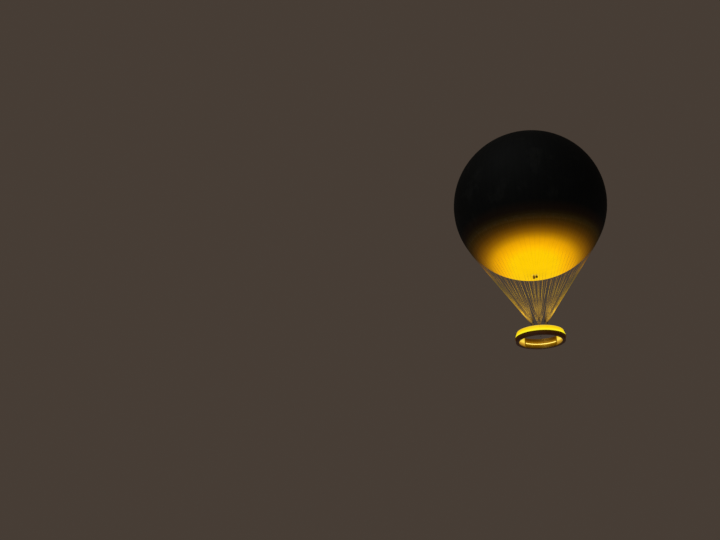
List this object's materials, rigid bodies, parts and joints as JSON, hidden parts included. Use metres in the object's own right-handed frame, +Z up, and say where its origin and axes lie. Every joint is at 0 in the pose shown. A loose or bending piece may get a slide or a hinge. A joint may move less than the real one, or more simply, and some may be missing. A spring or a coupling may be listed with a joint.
{
  "type": "tethered helium balloon with a lit ring",
  "caption": "Round tethered helium balloon, black above and lit warm from below, carrying a ring of lamps and mist pipes on fans of taut lines, with a swivel for its tether.",
  "frame": {"origin": "the middle of the round envelope, where the balloon's lift acts and holds it up", "axes": "+Z up from the lit ring to the crown; -Y towards the front, where a seam between two gold inner panels lies; +X to the right seen from the front"},
  "size_m": [21.9734, 21.9734, 32.0259],
  "materials": {
    "envelope_fabric": "coated gas-tight cloth in welded gores, black, lit warm yellow around its lower pole",
    "rope": "braided high-strength line, tan, lit gold near the ring",
    "aluminium": "turned and brushed",
    "steel": "galvanised, dull",
    "dark_paint": "near-black brown paint, satin, scuffed at its edges",
    "brown_paint": "brown paint, satin",
    "lamp_bodies": "black cast lamp housings with bright lenses",
    "gold_metal": "gold-toned metal sheet, lightly brushed",
    "lit_panel": "diffusing panel, lit from behind",
    "light_strip": "lit strip behind an opal cover"
  },
  "bodies": {
    "balloon": {"envelope": "envelope_fabric", "load_belt": "envelope_fabric", "crown_plate": "aluminium", "belly_plate": "aluminium", "blower_housing": "brown_paint", "relief_valve_body": "dark_paint", "suspension_fan_1": "rope", "suspension_fan_2": "rope", "suspension_fan_3": "rope", "suspension_fan_4": "rope", "suspension_fan_5": "rope", "suspension_fan_6": "rope", "suspension_fan_7": "rope", "suspension_fan_8": "rope", "hanger_1": "steel", "hanger_2": "steel", "hanger_3": "steel", "hanger_4": "steel", "hanger_5": "steel", "hanger_6": "steel", "hanger_7": "steel", "hanger_8": "steel", "load_ring": "steel", "bridle": "steel", "ring_trough": "dark_paint", "lamp_deck": "dark_paint", "lamp_ring": "lamp_bodies", "mist_pipe_inner": "steel", "mist_pipe_outer": "steel", "inner_panel_1": "gold_metal", "inner_panel_2": "lit_panel", "inner_panel_3": "lit_panel", "inner_panel_4": "gold_metal", "inner_panel_5": "gold_metal", "inner_panel_6": "lit_panel", "inner_panel_7": "lit_panel", "inner_panel_8": "gold_metal", "glow_panel_1": "lit_panel", "glow_panel_2": "lit_panel", "glow_panel_3": "lit_panel", "glow_panel_4": "lit_panel", "glow_panel_5": "lit_panel", "glow_panel_6": "lit_panel", "glow_panel_7": "lit_panel", "glow_panel_8": "lit_panel", "light_strip_front": "light_strip", "light_strip_back": "light_strip"},
    "crown_valve": {"crown_valve_lid": "aluminium"},
    "blower": {"blower_rotor": "aluminium"},
    "relief_valve": {"relief_valve_lid": "dark_paint"},
    "swivel": {"swivel": "steel"},
    "tether_link": {"tether_link": "steel"}
  },
  "joints": [
    {"name": "crown_valve_lift", "type": "slide", "parent": "balloon", "child": "crown_valve", "axis": [0, 0, 1], "range_m": [0, 0.07], "stiffness_N_per_m": 1500, "springref_m": -0.02},
    {"name": "blower_spin", "type": "hinge", "parent": "balloon", "child": "blower", "pos_m": [-0.186, 0, -11.35], "axis": [0, 0, 1], "continuous": true},
    {"name": "relief_valve_drop", "type": "slide", "parent": "balloon", "child": "relief_valve", "axis": [0, 0, -1], "range_m": [0, 0.05], "stiffness_N_per_m": 2000, "springref_m": -0.06},
    {"name": "tether_swivel", "type": "hinge", "parent": "balloon", "child": "swivel", "pos_m": [0, 0, -20.03], "axis": [0, 0, 1], "continuous": true},
    {"name": "tether_lean", "type": "hinge", "parent": "swivel", "child": "tether_link", "pos_m": [0, 0, -20.29], "axis": [1, 0, 0], "range_deg": [-60, 60]}
  ]
}
